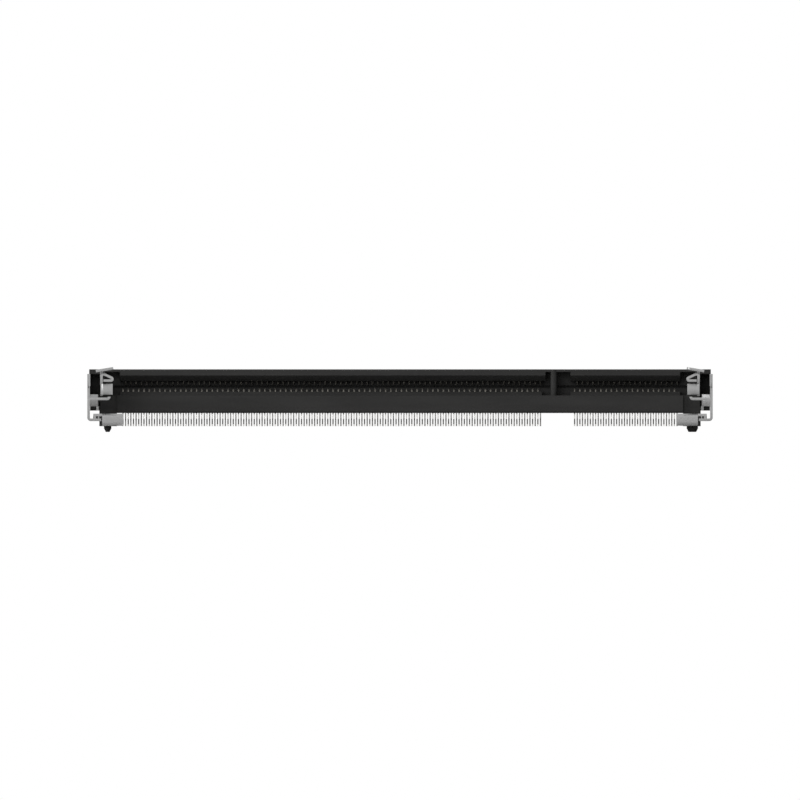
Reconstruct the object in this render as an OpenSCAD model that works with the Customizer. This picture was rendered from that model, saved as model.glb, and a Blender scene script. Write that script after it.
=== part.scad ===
// Right-angle socket for a memory card, soldered flat on a board.
// A moulded bar holds two rows of blanked spring contacts and a key rib. Each end has a latch
// spring that hooks the card, a soldered guard bracket outside it, a leg and a locating peg.
// X runs along the slot, the card comes in from -Y, and Z is up from the board at Z = 0.

/* [Card] */
// Thickness of the card
card_t = 1; // [0.8:0.05:1.1]
// Height of the card's middle above the board
card_z = 4.5; // [4.4:0.05:4.7]
// Distance from the outermost contact to the card's edge
card_margin = 2.15; // [2:0.05:2.6]
// Distance from the card's contact edge to the middle of its latch notch
notch_back = 20; // [17:0.25:24]
// Radius of the card's latch notch
notch_r = 2; // [1.8:0.05:2.2]
// Clearance between the card's edge and the end of the slot
card_play = 0.1; // [0.05:0.01:0.2]

/* [Contacts] */
// Distance between neighbouring contacts of one row
pitch = 0.6; // [0.56:0.01:0.8]
// Sheet thickness of a contact, along the slot
contact_t = 0.15; // [0.12:0.01:0.24]
// Width of a contact's strip, seen from the side
strip_w = 0.23; // [0.18:0.01:0.26]
// Clearance between a contact and each wall of its cavity
cavity_play = 0.05; // [0.03:0.01:0.07]
// Length of the flat part of a solder foot
foot_len = 0.5; // [0.4:0.05:1]
// Height over which a solder foot slopes up to its leg
foot_rise = 0.69; // [0.4:0.01:0.72]
// Inner radius of the bends in a contact
bend_r = 0.2; // [0.15:0.01:0.25]
// Depth of the card that a contact reaches into before it is pushed back
contact_bite = 0.3; // [0.2:0.02:0.36]
// Distance of the lower contact points from the card's edge
lower_point = 2.05; // [1.9:0.05:2.2]
// Distance of the upper contact points from the card's edge
upper_point = 0.96; // [0.8:0.02:1.1]
// Length of the lower contacts' spring beam
lower_beam = 2.5; // [2.3:0.05:2.6]
// Slope of the lower contacts' spring beam
lower_slope = 17; // [12:1:20]
// Length of the upper contacts' spring beam
upper_beam = 1.7; // [1.5:0.05:1.8]
// Slope of the upper contacts' spring beam
upper_slope = 33; // [28:1:36]

/* [Key] */
// Distance from the key to the last contact of the long side
key_long = 1.8; // [1.7:0.05:2.2]
// Distance from the key to the first contact of the short side
key_short = 2.4; // [2.3:0.05:2.8]
// Width of the key rib
key_w = 0.7; // [0.5:0.05:0.9]

/* [Housing] */
// Height of the housing's top above the board
top_z = 6.5; // [6.45:0.05:7]
// Height of the housing's underside above the board
belly_z = 1.5; // [1.4:0.05:1.6]
// Thickness of the wall between the card and the row of rear legs
back_wall = 2.05; // [1.9:0.05:2.4]
// Depth of the slot, from the front of its lip to the card's seat
slot_depth = 3.3; // [3.2:0.05:3.6]
// Step of the front wall in front of the upper lip
apron_step = 0.6; // [0.5:0.05:0.8]
// Height of the front wall's ledge above the board
ledge_z = 3.5; // [3.3:0.05:3.55]
// Height of the upper lip's front face
lip_h = 0.7; // [0.5:0.05:0.75]
// Clearance under and over the card in the slot
slot_play = 0.05; // [0.02:0.01:0.08]
// Extra height over the card, for tilting it in
tilt_room = 0.1; // [0.05:0.01:0.15]
// Height of the groove along the back of the slot
groove_h = 0.3; // [0.2:0.05:0.5]
// Small chamfer on the housing's long edges
edge = 0.15; // [0.05:0.05:0.2]
// Thickness of the block between the end of the slot and the bracket's blade
slot_end_wall = 0.45; // [0.4:0.05:0.6]
// Thickness of the outermost cheek of the housing
cheek_t = 0.66; // [0.5:0.01:0.8]
// Depth of the pocket in each end, behind the latch
end_pocket = 3.7; // [3:0.1:4]
// Length of the end legs along Y
leg_len = 3.2; // [2:0.1:4]

/* [Pegs] */
// Diameter of the small locating peg
small_peg_d = 0.85; // [0.7:0.05:1]
// Diameter of the large locating peg
large_peg_d = 1.3; // [1.1:0.05:1.6]
// Straight length of a peg below the board's top
peg_len = 0.26; // [0.2:0.02:1.2]
// Length of a peg's tapered tip
peg_tip = 0.4; // [0.15:0.05:0.5]

/* [Sheet metal] */
// Thickness of the latch and bracket sheet
sheet_t = 0.3; // [0.2:0.01:0.35]
// Clearance between the latch's root and the walls of its slot
root_play = 0.1; // [0.05:0.01:0.12]
// Length of the latch's root in the wall behind the pocket
root_len = 0.6; // [0.4:0.05:0.8]
// Clearance between the card's edge and the latch arm
arm_gap = 0.15; // [0.1:0.01:0.3]
// How far the hook reaches in over the card's edge
hook_reach = 0.97; // [0.8:0.01:1.1]
// Height of the hook plate
hook_h = 1.25; // [1:0.05:1.3]
// Gap between the seated card and the latch's hold-down fold
hold_gap = 0.06; // [0.02:0.01:0.1]
// How far the hold-down fold reaches in over the card's edge
fold_reach = 1.08; // [1:0.01:1.15]
// Slope of the hold-down fold's upper side
fold_slope = 26; // [20:1:28]
// Length of the hold-down fold along the arm
fold_w = 2.8; // [2:0.1:3.2]
// Slope of the finger tab
tab_slope = 9.4; // [5:0.2:12]
// How far the finger tab reaches in from the latch arm
tab_reach = 1.15; // [0.9:0.05:1.3]
// How far the finger tab reaches out from the latch arm
tab_overhang = 0.87; // [0.5:0.01:0.95]
// Width of the card rest along Y
rest_w = 3; // [2:0.1:3.4]
// Height of the bracket's solder flange above the board
flange_z = 0.58; // [0.5:0.01:0.62]
// Height of the solder foot's top above the board
foot_top = 1.43; // [1.4:0.01:1.6]
// Gap under the solder foot before it is soldered
foot_gap = 0.05; // [0:0.01:0.1]
// Length of the solder foot along the slot
foot_w = 2.4; // [1.8:0.1:2.6]

/* [Hidden] */
$fn = 48;
lower_names = ["lower_contacts_1", "lower_contacts_2", "lower_contacts_3", "lower_contacts_4",
  "lower_contacts_5", "lower_contacts_6", "lower_contacts_7", "lower_contacts_8",
  "lower_contacts_9", "lower_contacts_10"];
upper_names = ["upper_contacts_1", "upper_contacts_2", "upper_contacts_3", "upper_contacts_4",
  "upper_contacts_5", "upper_contacts_6", "upper_contacts_7", "upper_contacts_8",
  "upper_contacts_9", "upper_contacts_10"];

plastic = [0.12, 0.12, 0.13];
steel = [0.66, 0.66, 0.66];
plated = [0.82, 0.8, 0.72];

// Overlap that keeps cuts clear of the faces they start from
over = 1;

// Keeps a worked-out place on whole microns, so that faces that touch meet exactly
function micron(place) = round(place * 1000) / 1000;

// Contact rows, in banks of equal size: the upper row stands half a pitch along from the lower one
bank_size = 10;
bank_total = len(lower_names);
long_share = 0.8;
long_banks = round(long_share * bank_total);
long_run = (long_banks * bank_size - 1) * pitch;
short_run = ((bank_total - long_banks) * bank_size - 1) * pitch;
row_shift = pitch / 2;
field_len = long_run + key_long + key_short + short_run + row_shift;
first_x = -field_len / 2;
key_x = first_x + long_run + key_long;
short_x = key_x + key_short;
bank_run = bank_size * pitch;
function bank_x(bank) = bank < long_banks ?
  first_x + bank * bank_run : short_x + (bank - long_banks) * bank_run;

// Card and slot
card_half = field_len / 2 + card_margin;
card_low = card_z - card_t / 2;
card_top = card_z + card_t / 2;
slot_half = card_half + card_play;
slot_floor = card_low - slot_play;
slot_roof = card_top + slot_play + tilt_room;
lip_half = field_len / 2 + pitch / 2 + cavity_play;
slot_w = contact_t + 2 * cavity_play;

// Depths along Y: the pegs stand on Y = 0
lip_y = -2.5;
apron_y = lip_y - apron_step;
seat_y = lip_y + slot_depth;
ledge_step = 0.03;
mouth_low = ledge_z + ledge_step;
mouth_high = top_z - lip_h;
lower_lead = 0.45;
upper_lead = 1.3;
lead_land = 0.2;
pocket_roof = 0.3;
pocket_top = top_z - pocket_roof;
pocket_wall = 0.2;
key_wall = 0.35;
key_room = 0.59;
key_pocket_low = key_long - row_shift - slot_w / 2 - ledge_step;
key_pocket_high = key_w / 2 + key_room;
key_pocket_short = key_short - slot_w / 2 - key_wall;
key_nose = 0.15;
groove_d = 1.2;

// Solder foot of a contact: a flat part, then a slope at half a right angle up to the leg
foot_turn = 45;
foot_slope = micron((foot_rise - bend_r) / sin(foot_turn));

// Lower contact: foot, leg, base, return bend, beam and point
turn_extra = 0.15;
lower_turn_r = bend_r + turn_extra;
point_r = bend_r + strip_w;
lower_top = card_low + contact_bite;
lower_turn_z = lower_top - point_r * (1 - cos(lower_slope)) - lower_beam * sin(lower_slope)
  - (lower_turn_r + strip_w) * cos(lower_slope);
lower_base_z = lower_turn_z - lower_turn_r - strip_w;
lower_point_y = seat_y - lower_point;
lower_turn_y = lower_point_y + point_r * sin(lower_slope) + lower_beam * cos(lower_slope)
  - (lower_turn_r + strip_w) * sin(lower_slope);
leg_inset = 0.1;
lower_leg_y = lip_y + leg_inset;
lower_foot_y = lower_leg_y - foot_rise - foot_len;
lower_rise = lower_base_z - bend_r - strip_w - foot_rise;
lower_run = lower_turn_y - lower_leg_y - strip_w - bend_r;
lower_tip_turn = 55;
tip_len = 0.3;

// Upper contact: foot, rear leg, base, beam and point
upper_low = card_top - contact_bite;
beam_extra = 0.2;
beam_r = bend_r + beam_extra;
upper_base_z = upper_low + point_r * (1 - cos(upper_slope)) + upper_beam * sin(upper_slope)
  + beam_r * (1 - cos(upper_slope));
upper_point_y = seat_y - upper_point;
upper_bend_y = upper_point_y + point_r * sin(upper_slope) + upper_beam * cos(upper_slope)
  + beam_r * sin(upper_slope);
upper_leg_y = seat_y + back_wall;
upper_run = upper_leg_y - bend_r - upper_bend_y;
upper_foot_y = upper_leg_y + strip_w + foot_rise + foot_len;
upper_rise = upper_base_z - bend_r - strip_w - foot_rise;
upper_tip_turn = 40;
rear_y = upper_leg_y + leg_inset;
upper_cavity_top = upper_base_z + strip_w + cavity_play;
upper_cavity_y = lip_y + upper_lead + lead_land;

// End of the housing: a block beside the slot, then a deep pocket with a cheek under and behind it
block_half = slot_half + slot_end_wall;
blade_in = block_half + cavity_play;
cheek_in = blade_in + sheet_t + cavity_play;
cheek_out = cheek_in + cheek_t;
cap_h = 0.53;
cap_low = top_z - cap_h;
cap_step = 0.1;
cap_out = cheek_out + cap_step;
cheek_gap = 0.28;
cheek_low = belly_z + cheek_gap;
cheek_floor = 0.42;
cheek_wall = 1;
pocket_y = lip_y + end_pocket;
cheek_back = pocket_y + cheek_wall;
leg_gap = 0.33;
leg_in = lip_half + leg_gap;
peg_shift = 0.06;
peg_x = (leg_in + block_half) / 2 + peg_shift;
peg_taper = 0.42;

// Latch
arm_in = card_half + arm_gap;
arm_out = arm_in + sheet_t;
root_cover = 0.1;
root_top = cap_low - root_cover;
root_floor = 0.25;
root_low = slot_roof + root_floor;
root_end_y = pocket_y + root_len;
root_out = 0.7;
root_y = lip_y - root_out;
notch_y = seat_y - notch_back;
notch_play = 0.2;
hook_y = micron(notch_y + sqrt(notch_r * notch_r - hook_reach * hook_reach) - notch_play);
hook_r = 0.2;
hook_drop = 0.4;
hook_z = card_low - hook_drop;
hook_relief = 0.1;
arm_step = 0.15;
arm_low = hook_z - arm_step;
arm_taper = 2;
arm_nose = 0.9;
arm_front = hook_y - sheet_t - arm_nose;
fold_top_r = 0.1;
fold_tip_r = 0.02;
fold_run = (fold_reach + arm_gap - fold_top_r - fold_tip_r - sheet_t
  + (fold_tip_r + sheet_t) * sin(fold_slope) - (fold_top_r + sheet_t) * sin(fold_slope)) / cos(fold_slope);
fold_z = micron(card_top + hold_gap + fold_run * sin(fold_slope)
  - (fold_top_r + sheet_t) * cos(fold_slope) + (fold_tip_r + sheet_t) * (1 + cos(fold_slope)));
fold_y = arm_front + fold_w;
fold_relief = 0.06;
tab_rise = 0.5;
tab_z = fold_z + tab_rise;
tab_ahead = 0.8;
tab_front = arm_front - tab_ahead;
neck_gap = 0.3;
neck_y = fold_y + neck_gap;
neck_w = 1.8;
neck_reach = 0.7;
tab_len = neck_y + neck_w - tab_front;
tab_relief = 0.15;
tab_round = 0.55;

// Guard bracket
guard_play = 0.02;
wall_in = cheek_out + guard_play;
wall_out = wall_in + sheet_t;
guard_r = 0.1;
guard_bend = guard_r + sheet_t;
rest_ahead = 0.5;
rest_front = arm_front - rest_ahead;
rest_back = rest_front + rest_w;
rest_gap = 0.33;
rest_top = hook_z - rest_gap;
rest_curl = 90;
rest_curl_r = 0.1;
rest_under = 0.33;
rest_run = wall_out - guard_bend - card_half + rest_under;
flange_w = 1.6;
flange_in = wall_out - flange_w;
foot_step = 0.1;
foot_out = flange_in - foot_step;
foot_in = foot_out - foot_w;
roof_w = 1.02;
foot_front = rest_front - sheet_t;
foot_run = 2;
score_len = 1.6;
score_drop = 0.21;
score_h = 0.06;
score_deep = 0.2;
guard_low = cheek_low + sheet_t / 3;
guard_mid = card_z + sheet_t / 3;
guard_len = 4.4;
guard_back = lip_y + guard_len;
post_w = 2.2;
post_slope = 1.2;
post_hole_d = 0.2;
post_hole_z = 4.44;
post_hole_deep = 0.6;
strap_turn = 50;
strap_shift = wall_in - blade_in;
strap_run = micron((strap_shift - (2 * guard_r + sheet_t) * (1 - cos(strap_turn))) / sin(strap_turn));
strap_ahead = 2;
strap_y = lip_y - strap_ahead;
strap_rise = 0.49;
strap_z = cheek_low + strap_rise;
strap_h = 1.36;
blade_h = 1.1;
strap_window = strap_run + 2 * guard_bend;
blade_end_y = pocket_y + root_len;
blade_lead = (2 * guard_r + sheet_t) * sin(strap_turn) + strap_run * cos(strap_turn);
blade_run = micron(blade_end_y - strap_y - blade_lead);
tongue_len = 0.4;
tongue_tip = cheek_out - tongue_len;
tongue_z = 3;
tongue_h = 1.6;
lug_places = [0.36, 0.71];
lug_widths = [0.11, 0.23];
lug_sink = 0.05;

// Strip of sheet that starts at the origin along +X, with its thickness on +Y and w high in Z.
// Each step is [straight run, turn, inner radius], and a positive turn goes left. Children stand
// where the strip ends.
module sheet_strip(steps, t, w, at = 0) {
  if (at == len(steps)) {
    children();
  } else {
    run = steps[at][0];
    turn = steps[at][1];
    r = steps[at][2];
    centre = turn < 0 ? -r : t + r;
    if (run > 0)
      cube([run, t, w]);
    translate([run, centre, 0]) {
      if (turn != 0)
        mirror([0, turn < 0 ? 1 : 0, 0])
          rotate(-90)
            rotate_extrude(angle = abs(turn))
              translate([r, 0])
                square([t, w]);
      rotate(turn)
        translate([0, -centre, 0])
          sheet_strip(steps, t, w, at + 1)
            children();
    }
  }
}

// Places a shape drawn in Y and Z, so that it runs along X from x
module along_x(x) {
  translate([x, 0, 0])
    rotate([90, 0, 90])
      children();
}

// Places a shape drawn in X and Z, so that it runs along -Y from y
module along_y(y) {
  translate([0, y, 0])
    rotate([90, 0, 0])
      children();
}

// Repeats a contact shape at each place of one bank
module bank_of(bank, shift) {
  for (i = [0:bank_size - 1])
    along_x(bank_x(bank) + shift + i * pitch - contact_t / 2)
      children();
}

module lower_contacts(bank) {
  color(plated)
    bank_of(bank, 0)
      translate([lower_foot_y, 0])
        sheet_strip([
          [foot_len, foot_turn, bend_r],
          [foot_slope, foot_turn, bend_r],
          [lower_rise, -90, bend_r],
          [lower_run, 180 - lower_slope, lower_turn_r],
          [lower_beam, lower_slope + lower_tip_turn, bend_r],
          [tip_len, 0, 0]
        ], strip_w, contact_t);
}

module upper_contacts(bank) {
  color(plated)
    bank_of(bank, row_shift)
      translate([upper_foot_y, 0])
        mirror([1, 0])
          sheet_strip([
            [foot_len, foot_turn, bend_r],
            [foot_slope, foot_turn, bend_r],
            [upper_rise, -90, bend_r],
            [upper_run, -upper_slope, beam_r],
            [upper_beam, upper_slope + upper_tip_turn, bend_r],
            [tip_len, 0, 0]
          ], strip_w, contact_t);
}

// Side view of the space that a lower contact and its movement need
module lower_cavity() {
  leg_front = lower_leg_y - cavity_play;
  leg_back = lower_leg_y + strip_w + cavity_play;
  floor_z = lower_base_z - cavity_play;
  turn_back = lower_turn_y + lower_turn_r + strip_w + cavity_play;
  turn_top = lower_turn_z + lower_turn_r + strip_w + cavity_play;
  lip_back = lip_y + lower_lead + lead_land;
  polygon([
    [leg_front, belly_z - over],
    [leg_front, lower_base_z + strip_w + cavity_play],
    [lip_back, lower_base_z + 2 * strip_w + 2 * cavity_play],
    [lip_back, slot_roof],
    [seat_y, slot_roof],
    [seat_y, turn_top],
    [turn_back, turn_top],
    [turn_back, floor_z],
    [leg_back + bend_r, floor_z],
    [leg_back, floor_z - bend_r],
    [leg_back, belly_z - over]
  ]);
}

// Side view of the space that an upper contact and its movement need
module upper_cavity() {
  leg_front = upper_leg_y - cavity_play;
  floor_z = upper_base_z - cavity_play;
  bend_back = upper_bend_y + cavity_play;
  polygon([
    [upper_cavity_y, slot_floor],
    [upper_cavity_y, upper_cavity_top],
    [rear_y + over, upper_cavity_top],
    [rear_y + over, belly_z - over],
    [leg_front, belly_z - over],
    [leg_front, floor_z - bend_r],
    [leg_front - bend_r, floor_z],
    [bend_back, floor_z],
    [seat_y, slot_roof],
    [seat_y, slot_floor]
  ]);
}

// Outline of the moulded bar, seen from the end
module bar_outline() {
  polygon([
    [lip_y, belly_z],
    [rear_y - edge, belly_z],
    [rear_y, belly_z + edge],
    [rear_y, top_z - 2 * edge],
    [rear_y - 2 * edge, top_z],
    [lip_y + edge, top_z],
    [lip_y, top_z - edge]
  ]);
}

// Outline of the front wall below the slot
module apron_outline() {
  polygon([
    [apron_y + edge, belly_z],
    [lip_y + edge, belly_z],
    [lip_y + edge, ledge_z],
    [apron_y + edge / 2, ledge_z],
    [apron_y, ledge_z - edge / 2],
    [apron_y, belly_z + 1.5 * edge]
  ]);
}

// Mouth of the slot, with a slope above and below that leads the card in
module mouth_outline() {
  polygon([
    [lip_y - over, mouth_low],
    [lip_y, mouth_low],
    [lip_y + lower_lead, slot_floor],
    [lip_y + upper_lead, slot_floor],
    [lip_y + upper_lead, slot_roof],
    [lip_y, mouth_high],
    [lip_y - over, mouth_high]
  ]);
}

// Plain pocket as deep as the slot, from x1 to x2 and z1 to z2
module lip_pocket(x1, x2, z1, z2) {
  translate([x1, lip_y - over, z1])
    cube([x2 - x1, over + slot_depth, z2 - z1]);
}

// Solid end of the housing on the +X side, with its cap, cheek and leg
module housing_end() {
  cheek_len = cheek_back - lip_y;
  translate([block_half - edge, lip_y, cheek_low])
    cube([cheek_out - block_half + edge, cheek_len, cap_low - cheek_low + edge]);
  translate([block_half - edge, lip_y, cap_low])
    cube([cap_out - block_half + edge, cheek_len, cap_h]);
  translate([leg_in, -leg_len / 2, 0])
    cube([block_half - leg_in, leg_len, belly_z + over]);
}

// Pocket behind the latch, and the places for the latch's root, the bracket's blade and its tongue
module housing_end_cuts() {
  pocket_low = cheek_low + cheek_floor;
  translate([arm_out, lip_y - over, pocket_low])
    cube([cheek_out - arm_out + over, over + end_pocket, cap_low - pocket_low]);
  root_depth = root_end_y + cavity_play - lip_y;
  root_h = root_top - root_low + 2 * cavity_play;
  translate([arm_in - root_play, lip_y - over, root_low - cavity_play])
    cube([sheet_t + 2 * root_play, root_depth + over, root_h]);
  blade_depth = blade_end_y + cavity_play - lip_y;
  blade_top = cheek_low + blade_h + cavity_play;
  translate([block_half, lip_y - over, belly_z - over])
    cube([cheek_in - block_half, blade_depth + over, blade_top - belly_z + over]);
  translate([tongue_tip - cavity_play, guard_back - sheet_t - cavity_play, tongue_z - cavity_play])
    cube([tongue_len + cavity_play + over, sheet_t + 2 * cavity_play, tongue_h + 2 * cavity_play]);
}

module peg(d) {
  translate([0, 0, -peg_len])
    cylinder(d = d, h = peg_len + over);
  translate([0, 0, -peg_len - peg_tip])
    cylinder(d1 = d - peg_taper, d2 = d, h = peg_tip);
}

module housing() {
  color(plastic) {
    difference() {
      union() {
        along_x(-block_half)
          linear_extrude(2 * block_half)
            bar_outline();
        along_x(-leg_in)
          linear_extrude(2 * leg_in)
            apron_outline();
        for (side = [0, 1])
          mirror([side, 0, 0])
            housing_end();
      }
      translate([-slot_half, lip_y - over, slot_floor])
        cube([2 * slot_half, over + slot_depth, slot_roof - slot_floor]);
      along_x(-lip_half)
        linear_extrude(2 * lip_half)
          mouth_outline();
      translate([-slot_half, seat_y - over, card_z - groove_h / 2])
        cube([2 * slot_half, over + groove_d, groove_h]);
      lip_pocket(key_x - key_pocket_low, key_x + key_pocket_short, mouth_low, card_z);
      lip_pocket(key_x - key_pocket_high, key_x + key_pocket_short, card_z - edge, pocket_top);
      for (side = [0, 1])
        mirror([side, 0, 0]) {
          lip_pocket(lip_half, slot_half - pocket_wall, mouth_low, pocket_top);
          housing_end_cuts();
        }
      for (bank = [0:bank_total - 1]) {
        bank_of(bank, contact_t / 2 - slot_w / 2)
          linear_extrude(slot_w)
            lower_cavity();
        bank_of(bank, row_shift + contact_t / 2 - slot_w / 2)
          linear_extrude(slot_w)
            upper_cavity();
      }
    }
    key_rib();
    translate([-peg_x, 0, 0])
      peg(small_peg_d);
    translate([peg_x, 0, 0])
      peg(large_peg_d);
  }
}

// Rib that fits the card's key notch, with a round nose a little in front of the lip
module key_rib() {
  nose_y = lip_y - key_nose + key_w / 2;
  rib_low = mouth_low - edge;
  rib_h = top_z - edge / 2 - rib_low;
  translate([key_x - key_w / 2, nose_y, rib_low])
    cube([key_w, seat_y + edge - nose_y, rib_h]);
  translate([key_x, nose_y, rib_low])
    cylinder(d = key_w, h = rib_h);
}

// Side view of the latch's arm, from its narrow root to its tall front
module arm_outline() {
  polygon([
    [root_end_y, root_low],
    [root_end_y, root_top],
    [root_y, root_top],
    [root_y - arm_taper, fold_z],
    [arm_front, fold_z],
    [arm_front, hook_z + hook_h + hook_relief],
    [hook_y + hook_r, hook_z + hook_h + hook_relief],
    [hook_y + hook_r, arm_low],
    [root_y - arm_taper, arm_low],
    [root_y, root_low]
  ]);
}

// Latch spring on the +X side
module latch_shape() {
  along_x(arm_in)
    linear_extrude(sheet_t)
      arm_outline();
  translate([arm_in, hook_y + over, hook_z])
    rotate(-90)
      sheet_strip([
        [over - hook_r, -90, hook_r],
        [hook_reach + arm_gap - hook_r, 0, 0]
      ], sheet_t, hook_h);
  along_y(fold_y)
    translate([arm_out, fold_z])
      rotate(90)
        sheet_strip([
          [0, 90 + fold_slope, fold_top_r],
          [fold_run, 180 - fold_slope, fold_tip_r],
          [fold_reach + arm_gap - fold_tip_r - sheet_t - fold_relief, 0, 0]
        ], sheet_t, fold_w);
  along_y(neck_y + neck_w)
    translate([arm_out, fold_z])
      rotate(90)
        sheet_strip([[tab_z - fold_z, 90 - tab_slope, fold_top_r]], sheet_t, neck_w)
          finger_tab();
}

// Sloping plate that is pressed outward to let the card go, drawn from the end of its neck, with
// a relief beside the neck's bend and one round corner
module finger_tab() {
  translate([0, sheet_t, 0])
    rotate([90, 0, 0])
      linear_extrude(sheet_t)
        difference() {
          union() {
            square([neck_reach, tab_len - tab_round]);
            translate([-tab_overhang, neck_w + tab_relief])
              square([tab_overhang + tab_reach, tab_len - neck_w - tab_relief]);
          }
          translate([tab_reach - tab_round, tab_len - tab_round])
            difference() {
              square(tab_round + over);
              circle(tab_round);
            }
        }
}

// Side view of the bracket's guard wall behind the card rest
module guard_outline() {
  guard_top = cap_low - guard_play;
  difference() {
    polygon([
      [rest_back - sheet_t, guard_low],
      [rest_back - sheet_t, rest_top - guard_bend],
      [rest_back, rest_top - guard_bend],
      [rest_back, cap_low],
      [rest_back + post_w, cap_low],
      [rest_back + post_w + post_slope, guard_mid],
      [root_y - post_slope, guard_mid],
      [root_y, guard_top],
      [guard_back - guard_bend, guard_top],
      [guard_back - guard_bend, guard_low]
    ]);
    translate([strap_y, strap_z])
      square([strap_window, strap_h]);
  }
}

// Guard bracket on the +X side: solder flange, wall, card rest, strap with its blade, tongue and foot
module bracket_shape() {
  along_y(rest_back)
    translate([flange_in, flange_z])
      sheet_strip([
        [wall_out - guard_bend - flange_in, 90, guard_r],
        [rest_top - flange_z - 2 * guard_bend, 90, guard_r],
        [rest_run, -rest_curl, rest_curl_r]
      ], sheet_t, rest_w);
  difference() {
    along_x(wall_in)
      linear_extrude(sheet_t)
        guard_outline();
    along_y(rest_back + post_hole_deep)
      translate([wall_in + sheet_t / 2, post_hole_z])
        cylinder(d = post_hole_d, h = post_hole_deep + over);
  }
  translate([wall_out, strap_y - sheet_t, strap_z])
    rotate(90)
      sheet_strip([
        [sheet_t, strap_turn, guard_r],
        [strap_run, -strap_turn, guard_r]
      ], sheet_t, strap_h)
        translate([0, 0, cheek_low - strap_z])
          cube([blade_run, sheet_t, blade_h]);
  translate([wall_out, guard_back - guard_bend - sheet_t, tongue_z])
    rotate(90)
      sheet_strip([
        [sheet_t, 90, guard_r],
        [wall_out - guard_bend - tongue_tip, 0, 0]
      ], sheet_t, tongue_h);
  solder_foot();
}

// Roof that turns up from the flange's rear edge, and the foot that turns down from its front, with
// a scored line along its bend
module solder_foot() {
  along_x(foot_out - sheet_t)
    translate([rest_back - sheet_t, flange_z])
      sheet_strip([
        [sheet_t, 90, guard_r],
        [foot_top - flange_z - 2 * guard_bend, 90, guard_r],
        [rest_w, 0, 0]
      ], sheet_t, roof_w + sheet_t);
  for (i = [0:len(lug_places) - 1])
    translate([foot_out + lug_places[i], rest_front, flange_z + sheet_t - lug_sink])
      cube([lug_widths[i], sheet_t, foot_top - flange_z - 2 * sheet_t + 2 * lug_sink]);
  difference() {
    along_x(foot_in)
      translate([rest_back, foot_top])
        rotate(180)
          sheet_strip([
            [rest_back - foot_front - guard_bend, 90, guard_r],
            [foot_top - foot_gap - 2 * guard_bend, 90, guard_r],
            [foot_run, 0, 0]
          ], sheet_t, foot_w);
    translate([foot_out - score_len, foot_front - over, foot_top - score_drop])
      cube([score_len + over, over + score_deep, score_h]);
  }
}

module left_latch() {
  color(steel)
    mirror([1, 0, 0])
      latch_shape();
}

module right_latch() {
  color(steel)
    latch_shape();
}

module left_bracket() {
  color(steel)
    mirror([1, 0, 0])
      bracket_shape();
}

module right_bracket() {
  color(steel)
    bracket_shape();
}

housing();
left_latch();
right_latch();
left_bracket();
right_bracket();
for (bank = [0:bank_total - 1]) {
  lower_contacts(bank);
  upper_contacts(bank);
}
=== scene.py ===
import math

import bmesh
import bpy
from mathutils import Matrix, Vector


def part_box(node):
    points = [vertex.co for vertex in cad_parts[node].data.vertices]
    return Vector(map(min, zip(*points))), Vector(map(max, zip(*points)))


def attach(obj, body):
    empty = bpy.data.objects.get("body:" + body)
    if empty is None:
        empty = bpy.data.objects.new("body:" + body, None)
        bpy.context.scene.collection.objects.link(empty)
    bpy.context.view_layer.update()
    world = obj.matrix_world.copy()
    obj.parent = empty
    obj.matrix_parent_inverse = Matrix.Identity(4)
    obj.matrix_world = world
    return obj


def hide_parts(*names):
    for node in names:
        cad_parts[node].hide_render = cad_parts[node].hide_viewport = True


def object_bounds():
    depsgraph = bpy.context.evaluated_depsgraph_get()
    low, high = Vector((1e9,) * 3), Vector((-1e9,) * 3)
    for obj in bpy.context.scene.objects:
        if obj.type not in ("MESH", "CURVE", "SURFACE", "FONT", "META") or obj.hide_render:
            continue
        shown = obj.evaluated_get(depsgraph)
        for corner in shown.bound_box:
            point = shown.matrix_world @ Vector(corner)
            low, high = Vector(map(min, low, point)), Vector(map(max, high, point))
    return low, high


mm = 0.001
quarter = math.radians(90)

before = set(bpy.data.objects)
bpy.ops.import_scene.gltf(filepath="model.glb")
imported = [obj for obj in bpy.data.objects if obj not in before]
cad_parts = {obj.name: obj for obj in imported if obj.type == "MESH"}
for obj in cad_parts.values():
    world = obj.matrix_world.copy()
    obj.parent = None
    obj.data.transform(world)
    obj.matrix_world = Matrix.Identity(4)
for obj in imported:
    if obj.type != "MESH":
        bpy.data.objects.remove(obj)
startBox = [list(corner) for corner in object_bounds()]
print("frame loaded:", len(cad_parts), "nodes")


# Small helpers for objects and node trees

noiseRange = (0.3, 0.7)  # most of a noise texture lies between these


def addObject(name, data):
    thing = bpy.data.objects.new(name, data)
    bpy.context.scene.collection.objects.link(thing)
    return thing


def finishedMesh(rough):
    # a plain mesh with the modifiers applied, in place of the rough object
    depsgraph = bpy.context.evaluated_depsgraph_get()
    mesh = bpy.data.meshes.new_from_object(rough.evaluated_get(depsgraph))
    bpy.data.objects.remove(rough)
    return mesh


def addNode(tree, kind, **settings):
    node = tree.nodes.new(kind)
    for name, value in settings.items():
        setattr(node, name, value)
    return node


def linkUp(tree, *pairs):
    for source, target in pairs:
        tree.links.new(source, target)


def socketCalled(sockets, identifier):
    # for nodes that have several sockets of one name
    return next(s for s in sockets if s.identifier == identifier)


def newMaterial(name):
    material = bpy.data.materials.new(name)
    material.use_nodes = True
    tree = material.node_tree
    tree.nodes.clear()
    shader = addNode(tree, "ShaderNodeBsdfPrincipled")
    out = addNode(tree, "ShaderNodeOutputMaterial")
    linkUp(tree, (shader.outputs["BSDF"], out.inputs["Surface"]))
    return material, tree, shader


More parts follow.
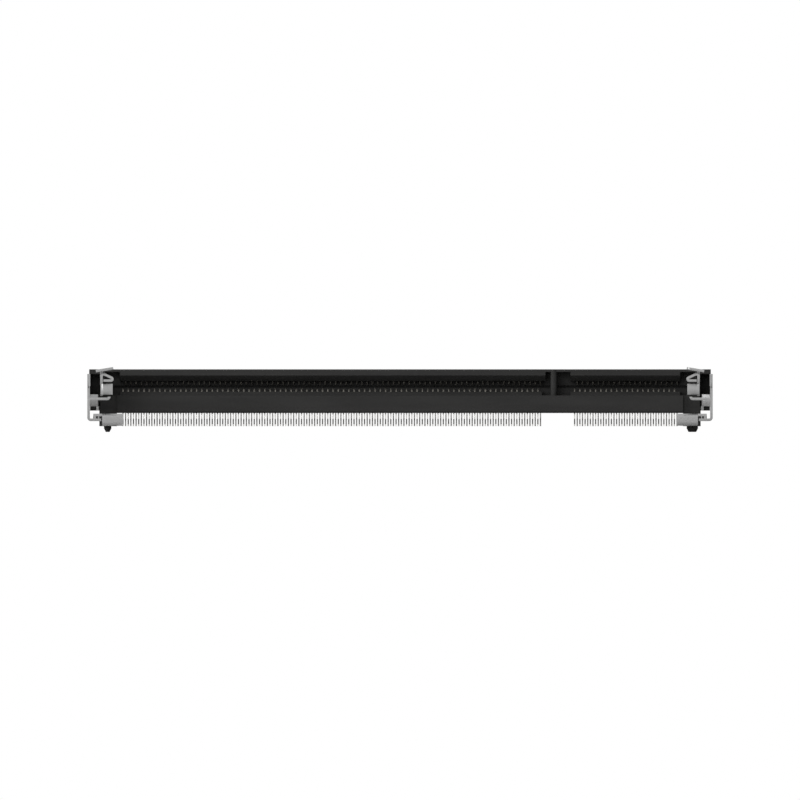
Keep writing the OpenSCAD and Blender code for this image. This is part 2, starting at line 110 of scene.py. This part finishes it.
def grain(tree, scale, detail, stretch=(1, 1, 1)):
    # noise on the piece's own coordinates, pulled out along one axis by stretch
    place = addNode(tree, "ShaderNodeTexCoord")
    turn = addNode(tree, "ShaderNodeMapping")
    turn.inputs["Scale"].default_value = stretch
    noise = addNode(tree, "ShaderNodeTexNoise")
    noise.inputs["Scale"].default_value = scale
    noise.inputs["Detail"].default_value = detail
    linkUp(tree, (place.outputs["Object"], turn.inputs["Vector"]),
           (turn.outputs["Vector"], noise.inputs["Vector"]))
    return noise.outputs["Fac"]


def between(tree, value, low, high, start=noiseRange[0], end=noiseRange[1]):
    spread = addNode(tree, "ShaderNodeMapRange")
    spread.inputs["From Min"].default_value = start
    spread.inputs["From Max"].default_value = end
    spread.inputs["To Min"].default_value = low
    spread.inputs["To Max"].default_value = high
    linkUp(tree, (value, spread.inputs["Value"]))
    return spread.outputs["Result"]


def tint(tree, value, dark, light):
    ramp = addNode(tree, "ShaderNodeValToRGB")
    for stop, position, colour in zip(ramp.color_ramp.elements, noiseRange, (dark, light)):
        stop.position = position
        stop.color = (*colour, 1)
    linkUp(tree, (value, ramp.inputs["Fac"]))
    return ramp.outputs["Color"]


def roughen(tree, shader, value, strength, depth):
    bump = addNode(tree, "ShaderNodeBump")
    bump.inputs["Strength"].default_value = strength
    bump.inputs["Distance"].default_value = depth
    linkUp(tree, (value, bump.inputs["Height"]),
           (bump.outputs["Normal"], shader.inputs["Normal"]))


# Black moulded plastic: long flow streaks from the gate, and a fine spark-eroded grain

plastic = {
    "dark": (0.0168, 0.0166, 0.0163),
    "light": (0.0218, 0.0216, 0.0212),
    "streakScale": 900,
    "streakDetail": 4,
    "streakStretch": (0.12, 1, 1),
    "grainScale": 14000,
    "grainDetail": 2,
    "roughness": (0.44, 0.56),
    "gloss": 0.1,
    "bump": 0.12,
    "bumpDepth": 0.006 * mm,
}


def makePlastic(look):
    material, tree, shader = newMaterial("blackMouldedPlastic")
    streaks = grain(tree, look["streakScale"], look["streakDetail"], look["streakStretch"])
    skin = grain(tree, look["grainScale"], look["grainDetail"])
    linkUp(tree, (tint(tree, streaks, look["dark"], look["light"]), shader.inputs["Base Color"]),
           (between(tree, skin, *look["roughness"]), shader.inputs["Roughness"]))
    roughen(tree, shader, skin, look["bump"], look["bumpDepth"])
    shader.inputs["Specular IOR Level"].default_value = look["gloss"]
    return material


# Rolled spring steel: rolling lines run along the strip, which lies along Y

steel = {
    "dark": (0.335, 0.336, 0.336),
    "light": (0.395, 0.395, 0.393),
    "lineScale": 9000,
    "lineDetail": 4,
    "lineStretch": (1, 0.03, 1),
    "cloudScale": 500,
    "cloudDetail": 3,
    "roughness": (0.26, 0.35),
    "metal": 1,
    "bump": 0.06,
    "bumpDepth": 0.003 * mm,
}


def makeSteel(look):
    material, tree, shader = newMaterial("rolledSpringSteel")
    lines = grain(tree, look["lineScale"], look["lineDetail"], look["lineStretch"])
    clouds = grain(tree, look["cloudScale"], look["cloudDetail"])
    linkUp(tree, (tint(tree, lines, look["dark"], look["light"]), shader.inputs["Base Color"]),
           (between(tree, clouds, *look["roughness"]), shader.inputs["Roughness"]))
    roughen(tree, shader, lines, look["bump"], look["bumpDepth"])
    shader.inputs["Metallic"].default_value = look["metal"]
    return material


# Contacts: matt tin with a fine crystal speckle, and pale gold where they touch the card

plating = {
    "dark": (0.60, 0.592, 0.565),
    "light": (0.68, 0.672, 0.645),
    "goldDark": (0.33, 0.315, 0.28),
    "goldLight": (0.4, 0.382, 0.34),
    "goldFromZ": (1.8 * mm, 2.4 * mm),
    "goldToY": (2.2 * mm, 1.6 * mm),
    "speckleScale": 30000,
    "speckleDetail": 2,
    "cloudScale": 1500,
    "cloudDetail": 2,
    "roughness": (0.24, 0.32),
    "goldRougher": 0.16,
    "metal": 0.9,
    "bump": 0.05,
    "bumpDepth": 0.002 * mm,
}


def makePlating(look):
    material, tree, shader = newMaterial("mattTinPlating")
    speckle = grain(tree, look["speckleScale"], look["speckleDetail"])
    clouds = grain(tree, look["cloudScale"], look["cloudDetail"])
    place = addNode(tree, "ShaderNodeTexCoord")
    axes = addNode(tree, "ShaderNodeSeparateXYZ")
    inside = addNode(tree, "ShaderNodeMath", operation="MULTIPLY")
    colour = addNode(tree, "ShaderNodeMix", data_type="RGBA")
    tin = socketCalled(colour.inputs, "A_Color")
    gold = socketCalled(colour.inputs, "B_Color")
    mixed = socketCalled(colour.outputs, "Result_Color")
    finish = addNode(tree, "ShaderNodeMath", operation="MULTIPLY_ADD")
    finish.inputs[1].default_value = look["goldRougher"]
    linkUp(tree, (place.outputs["Object"], axes.inputs["Vector"]),
           (between(tree, axes.outputs["Z"], 0, 1, *look["goldFromZ"]), inside.inputs[0]),
           (between(tree, axes.outputs["Y"], 0, 1, *look["goldToY"]), inside.inputs[1]),
           (inside.outputs["Value"], colour.inputs["Factor"]),
           (tint(tree, clouds, look["dark"], look["light"]), tin),
           (tint(tree, clouds, look["goldDark"], look["goldLight"]), gold),
           (mixed, shader.inputs["Base Color"]),
           (inside.outputs["Value"], finish.inputs[0]),
           (between(tree, speckle, *look["roughness"]), finish.inputs[2]),
           (finish.outputs["Value"], shader.inputs["Roughness"]))
    roughen(tree, shader, speckle, look["bump"], look["bumpDepth"])
    shader.inputs["Metallic"].default_value = look["metal"]
    return material


blackPlastic = makePlastic(plastic)
springSteel = makeSteel(steel)
tinPlating = makePlating(plating)
print("materials made")

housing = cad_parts["housing"]
housing.data.materials.clear()
housing.data.materials.append(blackPlastic)
print("housing dressed")


# Sheet-metal pieces: the solid's own shape, with the sharp blanked edges broken

sheetEdge = {
    "radius": 0.03 * mm,
    "segments": 2,
    "sharpFrom": math.radians(40),
    "flatWithin": math.radians(0.5),
    "mergeWithin": 0.0005 * mm,
}


def sheetPiece(name, node, body):
    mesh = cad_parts[node].data.copy()
    build = bmesh.new()
    build.from_mesh(mesh)
    bmesh.ops.remove_doubles(build, verts=build.verts, dist=sheetEdge["mergeWithin"])
    bmesh.ops.dissolve_limit(build, angle_limit=sheetEdge["flatWithin"],
                             verts=build.verts, edges=build.edges)
    build.to_mesh(mesh)
    build.free()
    rough = addObject(name + "Rough", mesh)
    soften = rough.modifiers.new("soften", "BEVEL")
    soften.width = sheetEdge["radius"]
    soften.segments = sheetEdge["segments"]
    soften.limit_method = "ANGLE"
    soften.angle_limit = sheetEdge["sharpFrom"]
    finished = finishedMesh(rough)
    finished.materials.clear()
    finished.materials.append(springSteel)
    finished.set_sharp_from_angle(angle=sheetEdge["sharpFrom"])
    piece = addObject(name, finished)
    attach(piece, body)
    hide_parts(node)


for side in ("left", "right"):
    sheetPiece(side + "LatchSpring", side + "_latch", side + "_spring")
    sheetPiece(side + "GuardBracket", side + "_bracket", "socket")
print("latch springs and guard brackets made")


# Contact rows: one blanked strip for each row, repeated along the slot with a gap at the key

contactRow = {
    "pitch": 0.6 * mm,
    "longCount": 80,
    "shortCount": 20,
    "keyGap": 4.2 * mm,  # from the last contact before the key to the first one after it
    "thickness": 0.15 * mm,
    "stripWidth": 0.23 * mm,
    "arcStep": math.radians(26),
    "sharpFrom": math.radians(40),
}


def rowTree():
    tree = bpy.data.node_groups.new("contactRow", "GeometryNodeTree")
    face = tree.interface
    face.new_socket("Geometry", in_out="INPUT", socket_type="NodeSocketGeometry")
    for name, kind in (("Pitch", "NodeSocketFloat"), ("Count", "NodeSocketInt"),
                       ("Long Count", "NodeSocketInt"), ("Key Jump", "NodeSocketFloat"),
                       ("Thickness", "NodeSocketFloat"), ("Strip Width", "NodeSocketFloat"),
                       ("First X", "NodeSocketFloat"), ("Material", "NodeSocketMaterial")):
        face.new_socket(name, in_out="INPUT", socket_type=kind)
    face.new_socket("Geometry", in_out="OUTPUT", socket_type="NodeSocketGeometry")
    given = addNode(tree, "NodeGroupInput")
    out = addNode(tree, "NodeGroupOutput")
    toCurve = addNode(tree, "GeometryNodeMeshToCurve")
    section = addNode(tree, "GeometryNodeCurvePrimitiveQuadrilateral")
    sweep = addNode(tree, "GeometryNodeCurveToMesh")
    sweep.inputs["Fill Caps"].default_value = True
    line = addNode(tree, "GeometryNodeMeshLine", mode="OFFSET")
    step = addNode(tree, "ShaderNodeCombineXYZ")
    first = addNode(tree, "ShaderNodeCombineXYZ")
    jump = addNode(tree, "ShaderNodeCombineXYZ")
    index = addNode(tree, "GeometryNodeInputIndex")
    pastKey = addNode(tree, "FunctionNodeCompare", data_type="INT", operation="GREATER_EQUAL")
    move = addNode(tree, "GeometryNodeSetPosition")
    place = addNode(tree, "GeometryNodeInstanceOnPoints")
    real = addNode(tree, "GeometryNodeRealizeInstances")
    paint = addNode(tree, "GeometryNodeSetMaterial")
    linkUp(tree,
           (given.outputs["Geometry"], toCurve.inputs["Mesh"]),
           (given.outputs["Thickness"], section.inputs["Width"]),
           (given.outputs["Strip Width"], section.inputs["Height"]),
           (toCurve.outputs["Curve"], sweep.inputs["Curve"]),
           (section.outputs["Curve"], sweep.inputs["Profile Curve"]),
           (given.outputs["Count"], line.inputs["Count"]),
           (given.outputs["Pitch"], step.inputs["X"]),
           (step.outputs["Vector"], line.inputs["Offset"]),
           (given.outputs["First X"], first.inputs["X"]),
           (first.outputs["Vector"], line.inputs["Start Location"]),
           (index.outputs["Index"], socketCalled(pastKey.inputs, "A_INT")),
           (given.outputs["Long Count"], socketCalled(pastKey.inputs, "B_INT")),
           (given.outputs["Key Jump"], jump.inputs["X"]),
           (line.outputs["Mesh"], move.inputs["Geometry"]),
           (pastKey.outputs["Result"], move.inputs["Selection"]),
           (jump.outputs["Vector"], move.inputs["Offset"]),
           (move.outputs["Geometry"], place.inputs["Points"]),
           (sweep.outputs["Mesh"], place.inputs["Instance"]),
           (place.outputs["Instances"], real.inputs["Geometry"]),
           (real.outputs["Geometry"], paint.inputs["Geometry"]),
           (given.outputs["Material"], paint.inputs["Material"]),
           (paint.outputs["Geometry"], out.inputs["Geometry"]))
    return tree


contactTree = rowTree()


def contactStrips(name, points, firstX, nodes):
    mesh = bpy.data.meshes.new(name + "Path")
    edges = [(i, i + 1) for i in range(len(points) - 1)]
    mesh.from_pydata([(0, y, z) for y, z in points], edges, [])
    path = addObject(name + "Path", mesh)
    repeat = path.modifiers.new("row", "NODES")
    repeat.node_group = contactTree
    wanted = {
        "Pitch": contactRow["pitch"],
        "Count": contactRow["longCount"] + contactRow["shortCount"],
        "Long Count": contactRow["longCount"],
        "Key Jump": contactRow["keyGap"] - contactRow["pitch"],
        "Thickness": contactRow["thickness"],
        "Strip Width": contactRow["stripWidth"],
        "First X": firstX,
        "Material": tinPlating,
    }
    for socket in contactTree.interface.items_tree:
        if socket.in_out == "INPUT" and socket.name in wanted:
            repeat[socket.identifier] = wanted[socket.name]
    finished = finishedMesh(path)
    build = bmesh.new()
    build.from_mesh(finished)
    bmesh.ops.recalc_face_normals(build, faces=build.faces)
    build.to_mesh(finished)
    build.free()
    finished.set_sharp_from_angle(angle=contactRow["sharpFrom"])
    piece = addObject(name, finished)
    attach(piece, "socket")
    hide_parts(*nodes)


# Shapes of the two contacts, seen from the side

strip = {
    "footLength": 0.5 * mm,
    "footRise": 0.69 * mm,
    "bendRadius": 0.2 * mm,
    "tip": 0.3 * mm,
}

lowerStrip = {
    "turnRadius": 0.35 * mm,
    "beam": 2.5 * mm,
    "slope": math.radians(17),
    "tipTurn": math.radians(55),
}

upperStrip = {
    "beamRadius": 0.4 * mm,
    "beam": 1.7 * mm,
    "slope": math.radians(33),
    "tipTurn": math.radians(40),
    "pointY": -0.16 * mm,
}

eighth = quarter / 2
half = contactRow["stripWidth"] / 2
midBend = strip["bendRadius"] + half  # a bend's radius at the middle of the strip
footSlope = (strip["footRise"] - strip["bendRadius"]) / math.sin(eighth)


def stripPath(start, heading, steps):
    # points along the middle of a strip in the Y-Z plane, each step a run, a turn and a radius
    y, z = start
    points = [(y, z)]
    for run, turn, radius in steps:
        y += run * math.cos(heading)
        z += run * math.sin(heading)
        points.append((y, z))
        count = max(1, round(abs(turn) / contactRow["arcStep"])) if turn else 0
        for i in range(count):
            halfTurn = turn / count / 2
            chord = 2 * radius * math.sin(abs(halfTurn))
            y += chord * math.cos(heading + halfTurn)
            z += chord * math.sin(heading + halfTurn)
            heading += 2 * halfTurn
            points.append((y, z))
    return points


def rowNodes(row):
    return sorted(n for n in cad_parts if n.startswith(row + "_contacts_"))


def rowBox(row):
    boxes = [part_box(n) for n in rowNodes(row)]
    return ([min(low[i] for low, high in boxes) for i in range(3)],
            [max(high[i] for low, high in boxes) for i in range(3)])


def lowerPath(low, high):
    # solder foot at the front, slope, leg, base, return bend, spring beam and point
    width, slope, beam = 2 * half, lowerStrip["slope"], lowerStrip["beam"]
    point = strip["bendRadius"] + width
    turn = lowerStrip["turnRadius"] + width
    turnZ = high[2] - point * (1 - math.cos(slope)) - beam * math.sin(slope) - turn * math.cos(slope)
    legY = low[1] + strip["footLength"] + strip["footRise"]
    rise = turnZ - turn - strip["bendRadius"] - width - strip["footRise"]
    run = high[1] - turn - legY - width - strip["bendRadius"]
    return stripPath((low[1], half), 0, [
        (strip["footLength"], eighth, midBend),
        (footSlope, eighth, midBend),
        (rise, -quarter, midBend),
        (run, 2 * quarter - slope, lowerStrip["turnRadius"] + half),
        (beam, slope + lowerStrip["tipTurn"], midBend),
        (strip["tip"], 0, 0),
    ])


def upperPath(low, high):
    # solder foot at the rear, slope, leg, base, sloping spring beam and point
    width, slope, beam = 2 * half, upperStrip["slope"], upperStrip["beam"]
    point = strip["bendRadius"] + width
    bendY = (upperStrip["pointY"] + (point + upperStrip["beamRadius"]) * math.sin(slope)
             + beam * math.cos(slope))
    legY = high[1] - strip["footLength"] - strip["footRise"] - width
    rise = high[2] - 2 * width - strip["bendRadius"] - strip["footRise"]
    run = legY - strip["bendRadius"] - bendY
    return stripPath((high[1], half), 2 * quarter, [
        (strip["footLength"], -eighth, midBend),
        (footSlope, -eighth, midBend),
        (rise, quarter, midBend),
        (run, slope, upperStrip["beamRadius"] + half),
        (beam, -slope - upperStrip["tipTurn"], midBend),
        (strip["tip"], 0, 0),
    ])


for row, shape in (("lower", lowerPath), ("upper", upperPath)):
    low, high = rowBox(row)
    firstX = low[0] + contactRow["thickness"] / 2
    contactStrips(row + "ContactRow", shape(low, high), firstX, rowNodes(row))
print("contact rows made")


# Camera straight at the front

view = {
    "width": 91.4 * mm,
    "height": 2.993 * mm,
    "distance": 0.3,
    "clip": (0.01, 5),
}


def frontCamera(look):
    camera = addObject("camera", bpy.data.cameras.new("camera"))
    camera.data.type = "ORTHO"
    camera.data.ortho_scale = look["width"]
    camera.data.clip_start, camera.data.clip_end = look["clip"]
    camera.location = (0, -look["distance"], look["height"])
    camera.rotation_euler = (quarter, 0, 0)
    bpy.context.scene.camera = camera


# Soft light from the front left: the front lamp reaches into the slot, and only the small lamp is
# mirrored, as a glint on the steel

slotMiddle = (0, -0.005, 0.003)

lamps = {
    "frontLamp": dict(place=(-0.08, -0.6, 0.07), aim=slotMiddle, size=0.25, power=2.9, mirrored=False),
    "leftLamp": dict(place=(-0.36, -0.2, 0.2), aim=slotMiddle, size=0.3, power=1.6, mirrored=False),
    "glintLamp": dict(place=(-0.38, -0.17, 0.12), aim=slotMiddle, size=0.22, power=0.36, mirrored=True),
    "topLamp": dict(place=(0.05, 0.12, 0.35), aim=(0, -0.005, 0), size=0.25, power=0.4, mirrored=False),
}


def softLamp(name, place, aim, size, power, mirrored):
    lamp = bpy.data.lights.new(name, "AREA")
    lamp.size = size
    lamp.energy = power
    holder = addObject(name, lamp)
    holder.location = place
    holder.rotation_euler = (Vector(aim) - Vector(place)).to_track_quat("-Z", "Y").to_euler()
    holder.visible_glossy = mirrored


def whiteRays(tree):
    # 1 for the rays that see the plain white background
    rays = addNode(tree, "ShaderNodeLightPath")
    seen = addNode(tree, "ShaderNodeMath", operation="MAXIMUM")
    shown = addNode(tree, "ShaderNodeMath", operation="MAXIMUM")
    linkUp(tree, (rays.outputs["Is Camera Ray"], seen.inputs[0]),
           (rays.outputs["Is Glossy Ray"], seen.inputs[1]),
           (seen.outputs["Value"], shown.inputs[0]),
           (rays.outputs["Is Transmission Ray"], shown.inputs[1]))
    return shown.outputs["Value"]


# Room: dim grey light all round, with a white background

room = {
    "colour": (0.8, 0.8, 0.8, 1),
    "strength": 0.2,
    "white": (1, 1, 1, 1),
}


def paleRoom(look):
    world = bpy.data.worlds.new("paleRoom")
    world.use_nodes = True
    bpy.context.scene.world = world
    tree = world.node_tree
    tree.nodes.clear()
    dim = addNode(tree, "ShaderNodeBackground")
    dim.inputs["Color"].default_value = look["colour"]
    dim.inputs["Strength"].default_value = look["strength"]
    white = addNode(tree, "ShaderNodeBackground")
    white.inputs["Color"].default_value = look["white"]
    choose = addNode(tree, "ShaderNodeMixShader")
    out = addNode(tree, "ShaderNodeOutputWorld")
    linkUp(tree, (whiteRays(tree), choose.inputs["Fac"]),
           (dim.outputs["Background"], choose.inputs[1]),
           (white.outputs["Background"], choose.inputs[2]),
           (choose.outputs["Shader"], out.inputs["Surface"]))


# Pale floor under the pegs, which runs out into the white background away from the part

paper = {
    "reach": 1.5,
    "dark": (0.84, 0.84, 0.84),
    "light": (0.86, 0.86, 0.86),
    "grainScale": 900,
    "grainDetail": 3,
    "roughness": 0.9,
    "fade": (0.055, 0.1),
}


def paleFloor(look, height):
    corners = ((-1, -1), (1, -1), (1, 1), (-1, 1))
    mesh = bpy.data.meshes.new("paleFloor")
    mesh.from_pydata([(x * look["reach"], y * look["reach"], height) for x, y in corners], [], [(0, 1, 2, 3)])
    material, tree, shader = newMaterial("palePaper")
    shader.inputs["Roughness"].default_value = look["roughness"]
    fibres = grain(tree, look["grainScale"], look["grainDetail"])
    place = addNode(tree, "ShaderNodeTexCoord")
    away = addNode(tree, "ShaderNodeVectorMath", operation="LENGTH")
    fade = addNode(tree, "ShaderNodeMath", operation="MULTIPLY")
    white = addNode(tree, "ShaderNodeEmission")
    choose = addNode(tree, "ShaderNodeMixShader")
    linkUp(tree, (tint(tree, fibres, look["dark"], look["light"]), shader.inputs["Base Color"]),
           (place.outputs["Object"], away.inputs[0]),
           (between(tree, away.outputs["Value"], 0, 1, *look["fade"]), fade.inputs[0]),
           (whiteRays(tree), fade.inputs[1]),
           (fade.outputs["Value"], choose.inputs["Fac"]),
           (shader.outputs["BSDF"], choose.inputs[1]),
           (white.outputs["Emission"], choose.inputs[2]),
           (choose.outputs["Shader"], tree.nodes["Material Output"].inputs["Surface"]))
    mesh.materials.append(material)
    addObject("paleFloor", mesh)


frontCamera(view)
for name, lamp in lamps.items():
    softLamp(name, **lamp)
paleRoom(room)
paleFloor(paper, startBox[0][2])
bpy.context.scene.view_settings.view_transform = "Standard"
print("stage and camera set")
